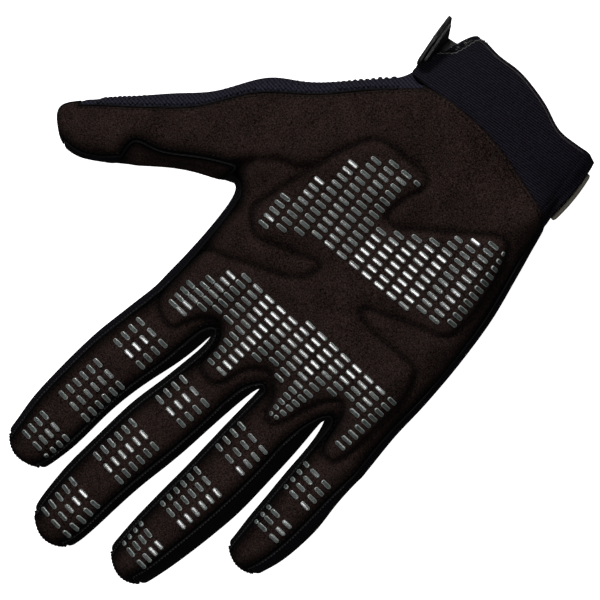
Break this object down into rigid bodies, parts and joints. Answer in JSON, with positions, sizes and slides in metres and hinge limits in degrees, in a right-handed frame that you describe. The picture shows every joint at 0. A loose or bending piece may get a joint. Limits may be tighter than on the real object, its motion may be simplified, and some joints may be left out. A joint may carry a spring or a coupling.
{
  "type": "motocross glove",
  "caption": "Full-finger riding glove for the right hand, hollow, with a padded suede palm, knit back, short cuff and a wrist strap.",
  "frame": {"origin": "on the flattened underside of the back panel, in the middle of the palm, where the glove rests", "axes": "+Y towards the fingertips, +X towards the thumb side, +Z out of the palm"},
  "size_m": [0.1788, 0.2426, 0.0263],
  "materials": {
    "palm_suede": "very dark brown synthetic suede, matt and finely granular",
    "back_knit": "navy-black ribbed knit",
    "fourchette_knit": "near-black fine knit",
    "cuff_twill": "navy-black fine stretch twill",
    "strap_rubber": "matt black soft moulded strap",
    "hook_tape": "black hook tape"
  },
  "bodies": {
    "root": {"palm_panel": "palm_suede", "thumb_patch": "palm_suede", "back_panel": "back_knit", "fourchette_little_ring": "fourchette_knit", "fourchette_ring_middle": "fourchette_knit", "fourchette_middle_index": "fourchette_knit", "cuff_palm": "cuff_twill", "cuff_back": "cuff_twill", "closure_strap": "strap_rubber", "hook_patch": "hook_tape"}
  },
  "joints": []
}
